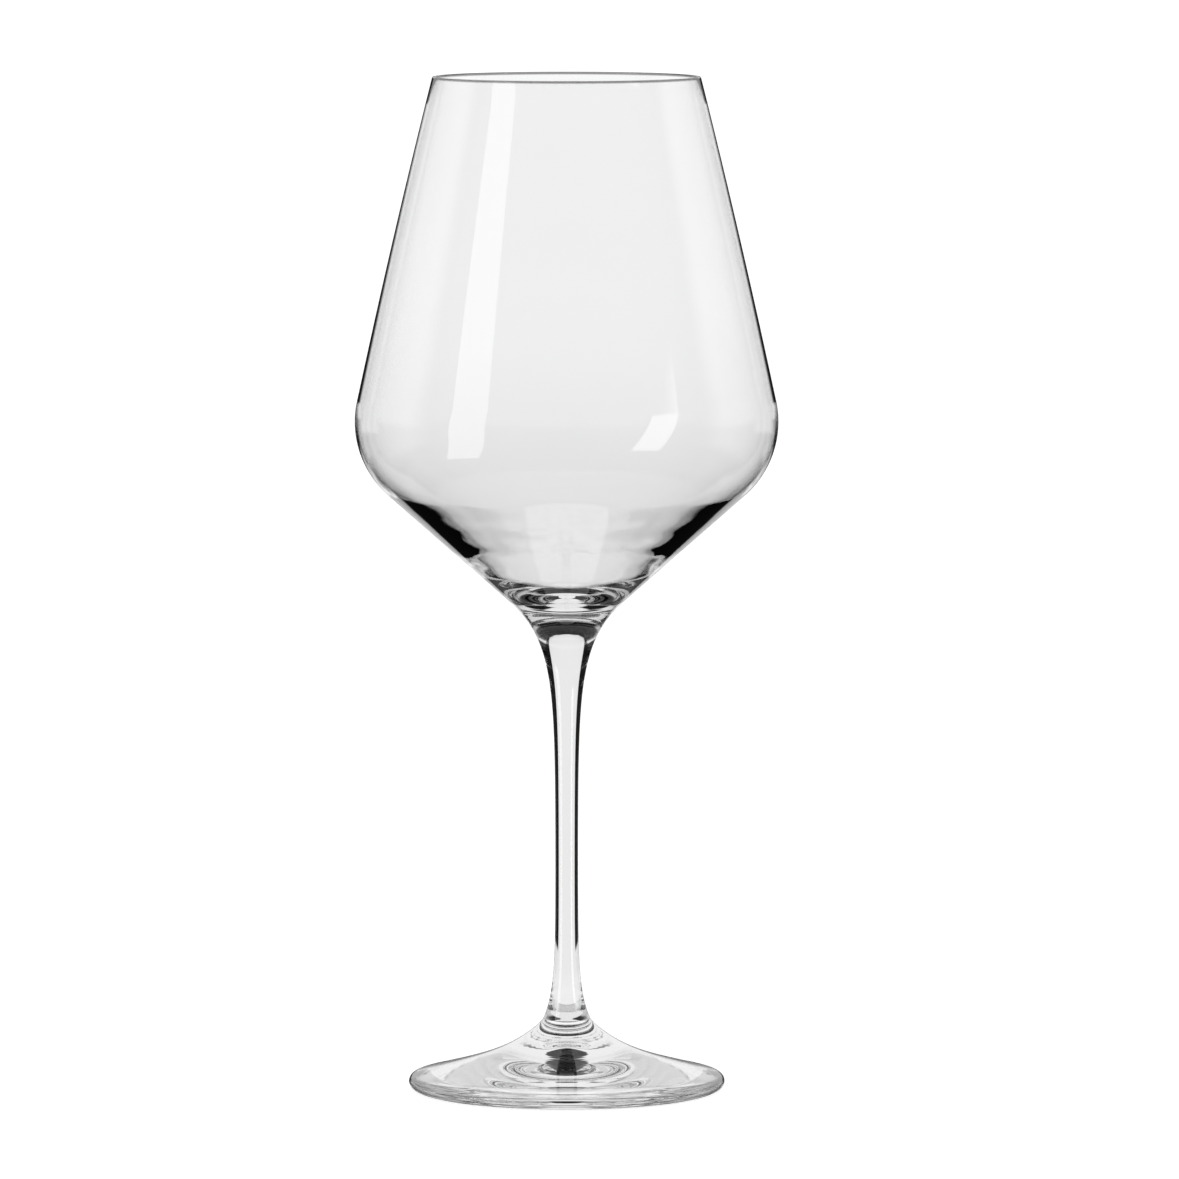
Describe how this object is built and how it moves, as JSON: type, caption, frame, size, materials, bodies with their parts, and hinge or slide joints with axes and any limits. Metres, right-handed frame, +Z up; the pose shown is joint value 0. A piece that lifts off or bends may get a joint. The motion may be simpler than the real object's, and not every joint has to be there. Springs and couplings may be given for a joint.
{
  "type": "wine glass",
  "caption": "Stemmed clear wine glass: a tapered bowl with a wide angular belly and thick funnel-shaped bottom, a slender drawn stem and a round foot.",
  "frame": {"origin": "centre of the ring the foot stands on, at table height", "axes": "+Z up along the stem, towards the rim; the glass is round, so +X and +Y are any two square directions"},
  "size_m": [0.1, 0.1, 0.24],
  "materials": {
    "bowl_glass": "clear, fire-polished, smooth",
    "stem_glass": "clear, drawn, smooth",
    "foot_glass": "clear, faint turning rings underneath"
  },
  "bodies": {
    "root": {"bowl": "bowl_glass", "stem": "stem_glass", "foot": "foot_glass"}
  },
  "joints": []
}
